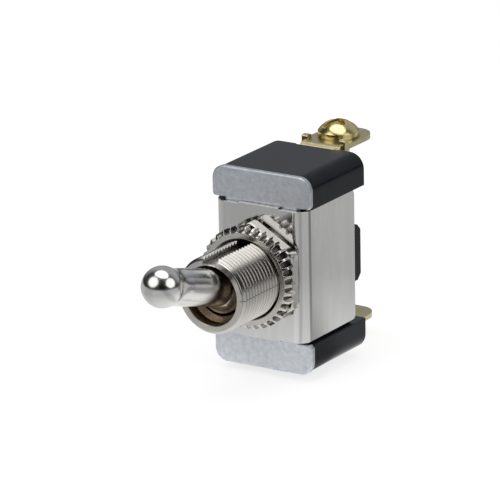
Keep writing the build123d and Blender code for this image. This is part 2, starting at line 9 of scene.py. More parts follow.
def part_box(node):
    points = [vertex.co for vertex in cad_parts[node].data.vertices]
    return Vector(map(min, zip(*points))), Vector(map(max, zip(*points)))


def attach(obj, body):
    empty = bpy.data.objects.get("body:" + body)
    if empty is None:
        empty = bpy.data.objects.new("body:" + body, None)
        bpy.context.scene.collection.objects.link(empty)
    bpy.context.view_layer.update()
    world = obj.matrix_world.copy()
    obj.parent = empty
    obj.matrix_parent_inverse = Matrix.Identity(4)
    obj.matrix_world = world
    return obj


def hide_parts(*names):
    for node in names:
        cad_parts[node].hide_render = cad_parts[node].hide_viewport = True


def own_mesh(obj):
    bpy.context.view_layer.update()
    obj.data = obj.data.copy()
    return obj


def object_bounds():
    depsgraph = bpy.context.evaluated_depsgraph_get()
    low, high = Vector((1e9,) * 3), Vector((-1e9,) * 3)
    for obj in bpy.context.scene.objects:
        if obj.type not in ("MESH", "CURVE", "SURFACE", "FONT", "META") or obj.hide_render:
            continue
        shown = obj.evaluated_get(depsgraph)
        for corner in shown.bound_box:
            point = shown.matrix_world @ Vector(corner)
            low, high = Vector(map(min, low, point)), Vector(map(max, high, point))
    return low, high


bl_info = {
    "name": "Panel toggle switch",
    "version": (1, 0, 0),
    "blender": (4, 5, 0),
    "location": "3D View > Sidebar > Toggle Switch",
    "description": "Dresses the packed toggle switch with its thread, finishes and studio",
    "category": "Object",
}

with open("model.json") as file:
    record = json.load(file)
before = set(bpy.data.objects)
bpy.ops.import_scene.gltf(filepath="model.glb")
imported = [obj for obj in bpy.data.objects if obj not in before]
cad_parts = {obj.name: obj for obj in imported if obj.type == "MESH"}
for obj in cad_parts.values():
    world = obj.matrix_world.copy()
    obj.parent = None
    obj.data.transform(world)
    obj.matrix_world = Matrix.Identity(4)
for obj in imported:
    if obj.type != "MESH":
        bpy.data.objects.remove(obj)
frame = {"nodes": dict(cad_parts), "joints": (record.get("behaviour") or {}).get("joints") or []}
cad_low, cad_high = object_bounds()
MM = 0.001

# Thread: (phase of one turn, share of the thread's depth), and lines of points round the axis.
THREAD_STOPS = ((0.0, 1.0), (0.125, 1.0), (0.22, 0.7), (0.34, 0.3), (0.4375, 0.0), (0.6875, 0.0),
                (0.785, 0.3), (0.905, 0.7))
THREAD_COLUMNS = 160
THREAD_CHAMFER = 0.45 * MM

# Seam along the thread: half width, where it has faded, how far out it starts.
SEAM_HALF, SEAM_FADE, SEAM_REACH = 0.05 * MM, 0.11 * MM, 5.2 * MM

# Inside of the bushing: mouth, retaining lip, the ball's socket, the pin's grooves, rear flare.
MOUTH_EASE = 0.12 * MM
BALL_DEPTH = 4.8 * MM
SOCKET_WALL, SOCKET_ROWS = 1.76 * MM, 8
LIP_HEIGHT, LIP_WIDTH = 0.34 * MM, 0.4 * MM
GROOVE_HALF, GROOVE_REACH = 0.9 * MM, 4.953 * MM
FLARE_START, FLARE_RADIUS = 7.2 * MM, 5.47 * MM
FLANGE_THICKNESS, FLANGE_CORNER = 1.4 * MM, 2.5 * MM

# Bare brass: how far past the mouth's radius, and round the grooves' height and reach.
BARE_MARGIN, BARE_HALF, BARE_REACH = 0.01 * MM, 1.17 * MM, 5.2 * MM

# Face nut: (share of one tooth's pitch, share of the pocket's depth), and shares of the bevel.
TOOTH_STOPS = ((0.0, 0.0), (0.13, 0.0), (0.22, 0.72), (0.32, 0.97), (0.5, 1.0), (0.68, 0.97),
               (0.78, 0.72), (0.87, 0.0))
BEVEL_STOPS, BEVEL_CURVE = (0.0, 0.2, 0.8, 1.0), 1.3
RIM_GAP = 0.002 * MM
FACE_COUNTERSINK = 0.4 * MM

# Floors of its pockets darkened as painted shade: share of their depth, least outward turn, share
# of the bevel.
DARK_SHARE, DARK_TURN, DARK_START = 0.68, 0.5, 0.2

# Hexagonal nut: degrees about the middle of a flat, and (shares of the edge's bevel along the
# axis and off the flat, drop of the corner).
HEX_TURNS = (-29.6, -28, -24, -16, -8, 0, 8, 16, 24, 28, 29.6)
HEX_STOPS = ((0, 1, 0.45 * MM), (0.6, 0, 0.16 * MM), (1.4, 0, 0))
HEX_CORNER_GAP = 0.03 * MM
HEX_COUNTERSINK = 0.25 * MM

# Lever's neck: how far its skin stands proud of the lever and its inside is sunk in it.
NECK_ROWS, NECK_SIDES = 12, 96
NECK_PROUD, NECK_SUNK = 0.0015 * MM, 0.3 * MM

# Points closer than this are one; edges that turn more than these degrees are sharp.
WELD = 0.0002 * MM
TUBE_CREASE, THREAD_CREASE = 28, 35

# Finishes: grain, marks and painted shade in recesses, the painted shade in the nut's pockets and
# the case's dull shine.
GRAIN_HEIGHT = 0.02 * MM
WARP_REACH = 2 * MM
# Share of the nickel's colour left on the nut's pocket floors, as painted shade.
POCKET_SHADE_TONE = 0.33
PHENOLIC_SHINE = 0.13
# Colour of the painted shade that gathers in recesses.
RECESS_SHADE_COLOUR = (0.05, 0.047, 0.042, 1)
SEAM_COLOUR = (0.08, 0.07, 0.06, 1)

# Camera: the photograph's size and the place in it that the lens's axis meets, in pixels.
PHOTO_SIZE = 500
PHOTO_AXIS = (262.04, 270.49)
CAMERA_TARGET = (0, 0.8 * MM, 0)
SENSOR_WIDTH = 36.0
CLIP_START, CLIP_END = 0.05, 20

# Lamps: name, azimuth and elevation in degrees, width, height and radiance.
LAMP_DISTANCE = 0.55
SOFTBOXES = (("overhead softbox", 0, 88, 0.66, 0.46, 1.5),
             ("left softbox", -27, 34, 0.58, 0.50, 1.05),
             ("right softbox", 86, 30, 0.54, 0.48, 1.05))
WORLD_LEVEL = 0.35

# Floor: how it glows to the eye, and how it fades and dims in polished surfaces, with bands of
# (bearing in degrees, cosine at which the band starts, level in its middle).
FLOOR_HALF, FLOOR_GAP = 3.0, 0.05 * MM
EYE_SPAN, EYE_LEVELS = (0.25, 1.2), (0.78, 1.0)
MIRROR_SPAN, MIRROR_LEVELS = (0.018, 0.06), (0.95, 0.56)
FLOOR_BANDS = ((-36, 0.88, 0.84), (42, 0.955, 0.75), (128, 0.955, 0.45))
BAND_CORE = 0.995

# Walls: (sine of the height angle, colour), and the two directions that dim and light them.
WALL_RADIUS, WALL_COLUMNS, WALL_ROWS = 0.9, 48, 12
WALL_SHADES = ((0.0, (0.07, 0.07, 0.07)), (0.10, (0.097, 0.10, 0.106)),
               (0.24, (0.3686, 0.38, 0.4028)), (0.55, (0.4074, 0.42, 0.4452)),
               (1.0, (0.29, 0.30, 0.32)))
DARK_WAY, DARK_SPAN, DARK_LEVELS = (0.510, -0.805, 0.302), (0.86, 0.96), (1.0, 0.08)
REAR_WAY, REAR_SPAN, REAR_LEVELS = (-0.2, 0.98, 0), (0.25, 0.8), (0.1, 1.0)


class BushingSizes(bpy.types.PropertyGroup):
    """Sizes of the threaded bushing that takes the plain CAD barrel's place."""

    pitch: bpy.props.FloatProperty(
        name="Thread pitch", description="Distance from one crest to the next", default=0.794 * MM,
        min=0.2 * MM, max=3 * MM, unit="LENGTH", precision=5)
    crest_radius: bpy.props.FloatProperty(
        name="Crest radius", description="Radius over the thread's crests", default=5.953 * MM,
        min=1 * MM, unit="LENGTH", precision=5)
    thread_depth: bpy.props.FloatProperty(
        name="Thread depth", description="Height of the thread from root to crest",
        default=0.42 * MM, min=0, unit="LENGTH", precision=5)
    mouth_radius: bpy.props.FloatProperty(
        name="Mouth radius", description="Radius of the bore at the front", default=4.6 * MM,
        min=1 * MM, unit="LENGTH", precision=5)
    keyway_width: bpy.props.FloatProperty(
        name="Keyway width", description="Width of the slot along the top", default=2.4 * MM,
        min=0, unit="LENGTH", precision=5)
    keyway_floor: bpy.props.FloatProperty(
        name="Keyway floor", description="Height of the slot's floor above the axis",
        default=4.95 * MM, min=0, unit="LENGTH", precision=5)


class NutSizes(bpy.types.PropertyGroup):
    """Sizes of the round face nut's teeth and the hexagonal nut's edges."""

    teeth: bpy.props.IntProperty(
        name="Teeth", description="Ridges round the face nut's rim", default=36, min=8, max=90,
        subtype="UNSIGNED")
    pocket_depth: bpy.props.FloatProperty(
        name="Pocket depth", description="Depth of the pockets between the ridges",
        default=0.86 * MM, min=0, unit="LENGTH", precision=5)
    bevel: bpy.props.FloatProperty(
        name="Front bevel", description="Width of the bevel round the face nut's front",
        default=0.75 * MM, min=0, unit="LENGTH", precision=5)
    hex_edge: bpy.props.FloatProperty(
        name="Hexagon's edge", description="Small bevel along the hexagon's edges",
        default=0.2 * MM, min=0, unit="LENGTH", precision=5)
    bore_radius: bpy.props.FloatProperty(
        name="Bore radius", description="Radius of both nuts' bores", default=5.983 * MM,
        min=1 * MM, unit="LENGTH", precision=5)


class LeverSizes(bpy.types.PropertyGroup):
    """Sizes of the smooth neck between the lever's ball end and its shank."""

    pivot_y: bpy.props.FloatProperty(
        name="Pivot", description="Place of the lever's pivot along the bushing", default=-8.9 * MM,
        unit="LENGTH", precision=5)
    throw: bpy.props.FloatProperty(
        name="Throw", description="Lever's turn from the bushing's axis at rest",
        default=radians(16), unit="ROTATION")
    reach: bpy.props.FloatProperty(
        name="Reach", description="Pivot to the middle of the ball end", default=18.3 * MM,
        min=1 * MM, unit="LENGTH", precision=5)
    tip_radius: bpy.props.FloatProperty(
        name="Ball end's radius", description="Radius of the ball end", default=3.15 * MM,
        min=1 * MM, unit="LENGTH", precision=5)
    neck_radius: bpy.props.FloatProperty(
        name="Neck radius", description="Shank's radius where it meets the ball end",
        default=2.75 * MM, min=1 * MM, unit="LENGTH", precision=5)
    taper: bpy.props.FloatProperty(
        name="Taper", description="Growth of the shank's radius along its length",
        default=0.1 / 3.15, min=0)
    blend: bpy.props.FloatProperty(
        name="Blend radius", description="Radius of the hollow between ball end and shank",
        default=10.0 * MM, min=0.1 * MM, unit="LENGTH", precision=5)


class FinishColours(bpy.types.PropertyGroup):
    """Base colours of the finishes."""

    nickel: bpy.props.FloatVectorProperty(
        name="Nickel", description="Bright nickel of the bushing and nuts", subtype="COLOR", size=3,
        min=0, max=1, default=(0.66, 0.64, 0.60))
    chrome: bpy.props.FloatVectorProperty(
        name="Chrome", description="Polished lever", subtype="COLOR", size=3, min=0, max=1,
        default=(0.74, 0.735, 0.71))
    zinc: bpy.props.FloatVectorProperty(
        name="Zinc", description="Mounting plate", subtype="COLOR", size=3, min=0, max=1,
        default=(0.67, 0.70, 0.745))
    yoke: bpy.props.FloatVectorProperty(
        name="Yoke", description="Clamp yoke's plated sheet", subtype="COLOR", size=3, min=0, max=1,
        default=(0.66, 0.66, 0.645))
    phenolic: bpy.props.FloatVectorProperty(
        name="Phenolic", description="Moulded case", subtype="COLOR", size=3, min=0, max=1,
        default=(0.0075, 0.0088, 0.0118))
    brass: bpy.props.FloatVectorProperty(
        name="Terminal brass", description="Dull brass of the terminals", subtype="COLOR", size=3,
        min=0, max=1, default=(0.62, 0.55, 0.33))
    screw_brass: bpy.props.FloatVectorProperty(
        name="Screw brass", description="Bright brass of the screws", subtype="COLOR", size=3,
        min=0, max=1, default=(0.82, 0.69, 0.33))
    bare_brass: bpy.props.FloatVectorProperty(
        name="Bare brass", description="Unplated inside of the bushing", subtype="COLOR", size=3,
        min=0, max=1, default=(0.50, 0.355, 0.22))


class StudioSettings(bpy.types.PropertyGroup):
    """Camera and floor."""

    azimuth: bpy.props.FloatProperty(
        name="Azimuth", description="Camera's turn round the part", default=radians(32.356),
        unit="ROTATION")
    elevation: bpy.props.FloatProperty(
        name="Elevation", description="Camera's height angle", default=radians(17.605),
        unit="ROTATION")
    roll: bpy.props.FloatProperty(
        name="Roll", description="Camera's tilt about its own axis", default=radians(-0.949),
        unit="ROTATION")
    distance: bpy.props.FloatProperty(
        name="Distance", description="Camera to the bushing's axis", default=0.7737, min=0.05,
        unit="LENGTH")
    lens: bpy.props.FloatProperty(
        name="Lens", description="Focal length in millimetres on a 36 mm sensor", default=370.39,
        min=10)
    floor_colour: bpy.props.FloatVectorProperty(
        name="Floor", description="Floor's own colour", subtype="COLOR", size=3, min=0, max=1,
        default=(0.82, 0.82, 0.82))


def feed(tree, socket, value):
    """Link another node's output into a socket, or set the socket to a plain value."""
    if isinstance(value, bpy.types.NodeSocket):
        tree.links.new(value, socket)
    else:
        socket.default_value = value


def node(tree, kind, inputs=None, **settings):
    """Node of one kind; inputs maps its sockets to plain values or other nodes' outputs."""
    made = tree.nodes.new(kind)
    for key, value in settings.items():
        setattr(made, key, value)
    for key, value in (inputs or {}).items():
        feed(tree, made.inputs[key], value)
    return made


def maths(tree, operation, *terms, clamp=False):
    """Result of a Math node."""
    inputs = dict(enumerate(terms))
    return node(tree, "ShaderNodeMath", inputs, operation=operation, use_clamp=clamp).outputs[0]


def vector_maths(tree, operation, *terms):
    """Result of a Vector Math node."""
    made = node(tree, "ShaderNodeVectorMath", dict(enumerate(terms)), operation=operation)
    return made.outputs["Value" if operation in ("DOT_PRODUCT", "LENGTH") else "Vector"]


def remap(tree, value, span, levels=(0.0, 1.0), curve="LINEAR"):
    """Value moved from one span to another and kept inside it."""
    inputs = {"Value": value, "From Min": span[0], "From Max": span[1], "To Min": levels[0],
              "To Max": levels[1]}
    return node(tree, "ShaderNodeMapRange", inputs, interpolation_type=curve).outputs["Result"]


def blend(tree, amount, under, over):
    """One colour mixed over another."""
    inputs = {"Factor": amount, "A": under, "B": over}
    return node(tree, "ShaderNodeMix", inputs, data_type="RGBA").outputs["Result"]


def colour_ramp(tree, value, stops):
    """Colour read from stops of (place, colour), given from low to high."""
    made = node(tree, "ShaderNodeValToRGB", {"Fac": value})
    elements = made.color_ramp.elements
    for element, (place, colour) in zip((elements[0], elements[1]), (stops[0], stops[-1])):
        element.position, element.color = place, (*colour, 1)
    for place, colour in stops[1:-1]:
        elements.new(place).color = (*colour, 1)
    return made.outputs["Color"]


def own_place(tree):
    """Place on the surface in the object's own coordinates."""
    return node(tree, "ShaderNodeTexCoord").outputs["Object"]


def new_group(name, inputs, outputs):
    """Empty shader node group with the named sockets."""
    tree = bpy.data.node_groups.new(name, "ShaderNodeTree")
    for label, kind, default in inputs:
        socket = tree.interface.new_socket(name=label, in_out="INPUT", socket_type=kind)
        socket.default_value = default
    for label, kind in outputs:
        tree.interface.new_socket(name=label, in_out="OUTPUT", socket_type=kind)
    return tree, tree.nodes.new("NodeGroupInput").outputs, tree.nodes.new("NodeGroupOutput").inputs


def use_group(tree, name, inputs):
    """Outputs of a node group placed in a material."""
    return node(tree, "ShaderNodeGroup", inputs, node_tree=bpy.data.node_groups[name]).outputs


def fine_grain_group():
    """Two scales of noise: a slow mottle and a fine grain."""
    tree, start, end = new_group(
        "Fine grain",
        [("Mottle scale", "NodeSocketFloat", 400.0), ("Grain scale", "NodeSocketFloat", 6000.0),
         ("Stretch", "NodeSocketVector", (1, 1, 1))],
        [("Mottle", "NodeSocketFloat"), ("Grain", "NodeSocketFloat")])
    scaled = vector_maths(tree, "MULTIPLY", own_place(tree), start["Stretch"])
    for label, out, detail in (("Mottle scale", "Mottle", 4.0), ("Grain scale", "Grain", 2.0)):
        noise = node(tree, "ShaderNodeTexNoise", {"Vector": scaled, "Scale": start[label],
                                                  "Detail": detail, "Roughness": 0.6})
        feed(tree, end[out], noise.outputs["Fac"])


def recess_group():
    """Painted shade: darkening that gathers in grooves and corners."""
    tree, start, end = new_group(
        "Recess painted shade",
        [("Color", "NodeSocketColor", (1, 1, 1, 1)), ("Reach", "NodeSocketFloat", 0.6 * MM),
         ("Depth", "NodeSocketFloat", 0.6)],
        [("Color", "NodeSocketColor")])
    shade = node(tree, "ShaderNodeAmbientOcclusion", {"Distance": start["Reach"]}, samples=8)
    open_share = remap(tree, shade.outputs["AO"], (0.35, 0.85))
    closed = maths(tree, "SUBTRACT", 1.0, open_share, clamp=True)
    amount = maths(tree, "MULTIPLY", closed, start["Depth"], clamp=True)
    feed(tree, end["Color"], blend(tree, amount, start["Color"], RECESS_SHADE_COLOUR))


def scratches_group():
    """Thin random marks as a mask, made from the edges of warped cells."""
    tree, start, end = new_group(
        "Handling marks",
        [("Scale", "NodeSocketFloat", 900.0), ("Amount", "NodeSocketFloat", 0.5)],
        [("Mask", "NodeSocketFloat")])
    place = own_place(tree)
    warp = node(tree, "ShaderNodeTexNoise", {"Vector": place, "Scale": 300.0, "Detail": 2.0})
    warped = vector_maths(tree, "MULTIPLY_ADD", warp.outputs["Color"], (WARP_REACH,) * 3, place)
    cells = node(tree, "ShaderNodeTexVoronoi", {"Vector": warped, "Scale": start["Scale"]},
                 feature="DISTANCE_TO_EDGE")
    thin = remap(tree, cells.outputs["Distance"], (0.0, 0.05), (1.0, 0.0))
    patch = node(tree, "ShaderNodeTexNoise", {"Vector": place, "Scale": 700.0, "Detail": 2.0})
    patchy = maths(tree, "MULTIPLY", thin, remap(tree, patch.outputs["Fac"], (0.5, 0.65)))
    feed(tree, end["Mask"], maths(tree, "MULTIPLY", patchy, start["Amount"]))


def new_material(name):
    """New material with its node tree and its Principled shader."""
    material = bpy.data.materials.new(name)
    material.use_nodes = True
    return material, material.node_tree, material.node_tree.nodes["Principled BSDF"]


def wandering_tone(tree, mottle, colour, tone, span):
    """Colour that is darker and lighter by a share of itself over the mottle's span."""
    darker = [c * (1 - tone) for c in colour]
    lighter = [min(1, c * (1 + tone)) for c in colour]
    return colour_ramp(tree, mottle, ((span[0], darker), (span[1], lighter)))


def skin_relief(tree, shader, height, strength, edge):
    """Fine relief of the surface; edge is the radius by which sharp edges look rounded."""
    relief = node(tree, "ShaderNodeBump",
                  {"Strength": strength, "Distance": GRAIN_HEIGHT, "Height": height})
    if edge:
        rounded = node(tree, "ShaderNodeBevel", {"Radius": edge}, samples=6)
        feed(tree, relief.inputs["Normal"], rounded.outputs["Normal"])
    feed(tree, shader.inputs["Normal"], relief.outputs["Normal"])


def mottled_metal(name, colour, tone, roughness, spread, mottle_scale, grain_scale,
                  stretch=(1, 1, 1), bump=0.05, marks=0.0, recess_shade=0.0, reach=0.6 * MM, edge=0.0):
    """Metal whose tone and roughness wander slowly, with a fine grain in its surface."""
    material, tree, shader = new_material(name)
    shader.inputs["Metallic"].default_value = 1.0
    grain = use_group(tree, "Fine grain", {"Mottle scale": mottle_scale, "Grain scale": grain_scale,
                                           "Stretch": stretch})
    surface = wandering_tone(tree, grain["Mottle"], colour, tone, (0.3, 0.7))
    # Painted shade: the colour darkens in grooves and corners.
    if recess_shade:
        recess = {"Depth": recess_shade, "Reach": reach, "Color": surface}
        surface = use_group(tree, "Recess painted shade", recess)["Color"]
    feed(tree, shader.inputs["Base Color"], surface)
    height = grain["Grain"]
    rough = remap(tree, height, (0.3, 0.7), (max(0, roughness - spread), roughness + spread))
    feed(tree, shader.inputs["Roughness"], rough)
    if marks:
        scratches = use_group(tree, "Handling marks", {"Amount": marks})
        height = maths(tree, "SUBTRACT", height, scratches["Mask"])
    skin_relief(tree, shader, height, bump, edge)
    return material


def moulded_plastic(name, colour, roughness, spread, bump=0.03, scale=2500.0, edge=0.0):
    """Plastic with a faint skin of its mould."""
    material, tree, shader = new_material(name)
    grain = use_group(tree, "Fine grain", {"Mottle scale": 250.0, "Grain scale": scale})
    tone = wandering_tone(tree, grain["Mottle"], colour, 0.15, (0.35, 0.65))
    feed(tree, shader.inputs["Base Color"], tone)
    rough = remap(tree, grain["Mottle"], (0, 1), (max(0, roughness - spread), roughness + spread))
    feed(tree, shader.inputs["Roughness"], rough)
    skin_relief(tree, shader, grain["Grain"], bump, edge)
    return material


def rolled_seam(material):
    """Thin dark line along the thread's +X side."""
    tree = material.node_tree
    base = tree.nodes["Principled BSDF"].inputs["Base Color"]
    parts = node(tree, "ShaderNodeSeparateXYZ", {"Vector": own_place(tree)}).outputs
    line = remap(tree, maths(tree, "ABSOLUTE", parts["Z"]), (SEAM_HALF, SEAM_FADE), (0.55, 0.0))
    outside = maths(tree, "GREATER_THAN", parts["X"], SEAM_REACH)
    mask = maths(tree, "MULTIPLY", line, outside)
    feed(tree, base, blend(tree, mask, base.links[0].from_socket, SEAM_COLOUR))


def dress(name, material):
    """Give a CAD node its finish."""
    mesh = frame["nodes"][name].data
    if not mesh.materials:
        mesh.materials.append(material)
    for i in range(len(mesh.materials)):
        mesh.materials[i] = material


def mesh_object(name, points, faces, material):
    """New smooth-shaded object from points and faces."""
    mesh = bpy.data.meshes.new(name)
    mesh.from_pydata(points, [], faces)
    mesh.validate()
    mesh.update()
    mesh.polygons.foreach_set("use_smooth", [True] * len(mesh.polygons))
    piece = bpy.data.objects.new(name, mesh)
    bpy.context.scene.collection.objects.link(piece)
    mesh.materials.append(material)
    return piece


def add_points(points, new):
    """Append new points and return their numbers."""
    first = len(points)
    points.extend(new)
    return list(range(first, len(points)))


def bridge(faces, ring, following):
    """Join two closed rings of point numbers with four-sided faces."""
    for i in range(len(ring)):
        j = (i + 1) % len(ring)
        faces.append((ring[i], ring[j], following[j], following[i]))


def face_outward(piece, crease, weld=0.0):
    """Turn the faces outward and mark edges sharp that turn more than crease degrees."""
    shape = bmesh.new()
    shape.from_mesh(piece.data)
    if weld:
        bmesh.ops.remove_doubles(shape, verts=shape.verts, dist=weld)
    bmesh.ops.recalc_face_normals(shape, faces=shape.faces)
    for edge in shape.edges:
        if len(edge.link_faces) == 2 and edge.calc_face_angle(0) > radians(crease):
            edge.smooth = False
    shape.to_mesh(piece.data)
    shape.free()


def turned_tube(name, angles, rings, material):
    """Closed ring about Y from (place, radii) rings; radii is one number or one per angle."""
    points, faces, rows = [], [], []
    for place, radii in rings:
        if not isinstance(radii, list):
            radii = [radii] * len(angles)
        rows.append(add_points(points, [(radius * cos(angle), place, radius * sin(angle))
                                        for radius, angle in zip(radii, angles)]))
    for row, following in zip(rows, rows[1:] + rows[:1]):
        bridge(faces, row, following)
    piece = mesh_object(name, points, faces, material)
    face_outward(piece, TUBE_CREASE)
    return piece


def thread_height(phase):
    """Share of the thread's depth at a phase of one turn, 1 on the crest and 0 in the root."""
    phase %= 1.0
    stops = THREAD_STOPS + ((1.0, 1.0),)
    for (a, ha), (b, hb) in zip(stops, stops[1:]):
        if a <= phase <= b:
            return ha + (hb - ha) * (phase - a) / (b - a)
    return 1.0


def thread_line(sizes, angle, start, end):
    """Thread as (radius, place) pairs along one line at an angle round the axis."""
    pitch, crest = sizes.pitch, sizes.crest_radius
    lead = pitch * ((angle - pi / 2) % (2 * pi)) / (2 * pi)
    line = []
    for turn in range(-1, int((end - start) / pitch) + 3):
        for phase, _ in THREAD_STOPS:
            place = min(max(start + pitch * (turn + phase) + lead, start), end)
            share = thread_height((place - start - lead) / pitch)
            radius = crest - sizes.thread_depth * (1 - share)
            line.append((min(radius, crest - THREAD_CHAMFER + (place - start)), place))
    return line


def thread_columns(points, sizes, start, end):
    """Add the thread and its keyway; returns the point numbers of each line round the axis."""
    half_key = sizes.keyway_width / 2
    wall = asin(half_key / sizes.crest_radius)
    step = (2 * pi - 2 * wall) / THREAD_COLUMNS
    angles = [pi / 2 + wall + step * i for i in range(THREAD_COLUMNS + 1)]
    lines = [thread_line(sizes, angle, start, end) for angle in angles]
    columns = []
    for i, (angle, line) in enumerate(zip(angles, lines)):
        if i in (0, THREAD_COLUMNS):
            x = half_key if i else -half_key
            new = [(x, place, sqrt(radius ** 2 - half_key ** 2)) for radius, place in line]
        else:
            new = [(radius * cos(angle), place, radius * sin(angle)) for radius, place in line]
        columns.append(add_points(points, new))
    for share in (1.0, 1 / 3, -1 / 3, -1.0):
        line = lines[-1] if share > 0 else lines[0]
        new = [(half_key * share, place, sizes.keyway_floor) for _, place in line]
        columns.append(add_points(points, new))
    return columns


def bore_profile(sizes, front, rear):
    """Bore as (radius, place) pairs: mouth, lip, the ball's socket and the rear flare."""
    mouth = sizes.mouth_radius
    ball_y = front + BALL_DEPTH
    socket = sizes.crest_radius - SOCKET_WALL
    lip = socket - LIP_HEIGHT
    lip_rear = ball_y - sqrt(socket ** 2 - lip ** 2)
    lip_front = lip_rear - LIP_WIDTH
    profile = [(mouth + MOUTH_EASE, front), (mouth, front + MOUTH_EASE),
               (mouth, lip_front - (mouth - lip)), (lip, lip_front), (lip, lip_rear)]
    for i in range(1, SOCKET_ROWS + 1):
        turn = (pi / 2 - asin(lip / socket)) * (1 - i / SOCKET_ROWS)
        profile.append((socket * cos(turn), ball_y - socket * sin(turn)))
    return profile + [(socket, ball_y + FLARE_START), (FLARE_RADIUS, rear)]


def bore_point(radius, place, angle, groove_front):
    """Point of the bore's wall, which steps out to the pin's grooves at both sides."""
    x, z = radius * cos(angle), radius * sin(angle)
    if place > groove_front and abs(z) < GROOVE_HALF and abs(x) < GROOVE_REACH:
        x = GROOVE_REACH if x > 0 else -GROOVE_REACH
    return x, place, z


def rounded_box_point(angle, half_x, half_z, corner):
    """Where a ray from the middle meets a rounded rectangle."""
    dx, dz = cos(angle), sin(angle)
    scale = min(half / abs(d) if abs(d) > 1e-9 else 1e9 for half, d in ((half_x, dx), (half_z, dz)))
    x, z = dx * scale, dz * scale
    cx, cz = half_x - corner, half_z - corner
    if abs(x) > cx and abs(z) > cz:
        b = abs(dx) * cx + abs(dz) * cz
        c = cx * cx + cz * cz - corner * corner
        reach = b + sqrt(max(0, b * b - c))
        x, z = dx * reach, dz * reach
    return x, z


def dress_bore(mesh, mouth_radius):
    """Give the bore and the pin's grooves the mesh's second finish."""
    for face in mesh.polygons:
        corners = [mesh.vertices[i].co for i in face.vertices]
        reach = max(sqrt(corner.x ** 2 + corner.z ** 2) for corner in corners)
        in_groove = reach < BARE_REACH and max(abs(corner.z) for corner in corners) < BARE_HALF
        if reach < mouth_radius + BARE_MARGIN or in_groove:
            face.material_index = 1


class SWITCH_OT_finishes(bpy.types.Operator):
    """Make the finishes and give them to the CAD pieces."""

    bl_idname = "toggle_switch.finishes"
    bl_label = "Finishes"

    def execute(self, context):
        colour = context.scene.switch_finish
        fine_grain_group()
        scratches_group()
        recess_group()
        # Each finish's recess darkening below is painted shade in its grooves and corners.
        nickel = mottled_metal("Bright nickel", colour.nickel, 0.05, 0.22, 0.04, 500, 5000,
                               marks=0.2, recess_shade=0.6)
        rolled_seam(nickel)
        nut_nickel = mottled_metal("Nut nickel", colour.nickel, 0.05, 0.16, 0.04, 500, 5000,
                                   marks=0.2, recess_shade=0.9, edge=0.08 * MM)
        # Darker nickel for the nut's pocket floors, as painted shade.
        mottled_metal("Nut pocket shade", [c * POCKET_SHADE_TONE for c in colour.nickel], 0.15, 0.38, 0.08,
                      900, 5000, bump=0.1)
        chrome = mottled_metal("Polished chrome", colour.chrome, 0.02, 0.19, 0.02, 300, 4000,
                               bump=0.01)
        zinc = mottled_metal("Mottled zinc", colour.zinc, 0.14, 0.40, 0.10, 1300, 5000, bump=0.12,
                             marks=0.3, recess_shade=0.5, edge=0.12 * MM)
        yoke = mottled_metal("Plated yoke sheet", colour.yoke, 0.05, 0.10, 0.04, 500, 3500,
                             stretch=(1, 1, 0.2), bump=0.06, marks=0.25, recess_shade=0.8, edge=0.15 * MM)
        phenolic = moulded_plastic("Moulded phenolic", colour.phenolic, 0.16, 0.05, edge=0.15 * MM)
        shine = phenolic.node_tree.nodes["Principled BSDF"].inputs["Specular IOR Level"]
        shine.default_value = PHENOLIC_SHINE
        brass = mottled_metal("Terminal brass", colour.brass, 0.08, 0.32, 0.06, 500, 4000,
                              bump=0.06, marks=0.3, recess_shade=0.5, edge=0.12 * MM)
        screw = mottled_metal("Bright screw brass", colour.screw_brass, 0.05, 0.20, 0.04, 500, 5000,
                              recess_shade=0.6, edge=0.12 * MM)
        steel = mottled_metal("Plain steel", (0.45, 0.45, 0.46), 0.06, 0.3, 0.05, 500, 4000)
        silver = mottled_metal("Silver contact", (0.8, 0.79, 0.76), 0.04, 0.25, 0.05, 500, 4000)
        contact_brass = mottled_metal("Contact brass", (0.70, 0.52, 0.22), 0.06, 0.28, 0.05, 500,
                                      4000)
        nylon = moulded_plastic("Nylon", (0.72, 0.68, 0.58), 0.4, 0.05)
        fibre = moulded_plastic("Vulcanised fibre", (0.20, 0.07, 0.035), 0.6, 0.08, bump=0.2,
                                scale=4000)
        # The bare brass darkens deep inside the bore as painted shade.
        mottled_metal("Bare brass bore", colour.bare_brass, 0.12, 0.30, 0.06, 600, 4000, bump=0.08,
                      recess_shade=0.85, reach=3 * MM)
        looks = {
            "bushing": nickel, "hex_nut": nut_nickel, "face_nut": nut_nickel, "lever": chrome,
            "pivot_pin": steel, "plunger": nylon, "plunger_spring": steel, "clamp_yoke": yoke,
            "mounting_plate": zinc, "case": phenolic, "insulator_sheet": fibre,
            "rocker_arm": contact_brass, "rocker_contact": silver, "rocker_pin": steel,
            "common_terminal": brass, "common_rivet": brass, "common_screw": screw,
            "fixed_terminal": brass, "drive_pin": steel, "fixed_contact": silver,
            "fixed_screw": screw, "lock_washer": steel,
        }
        for name, material in looks.items():
            dress(name, material)
        return {"FINISHED"}


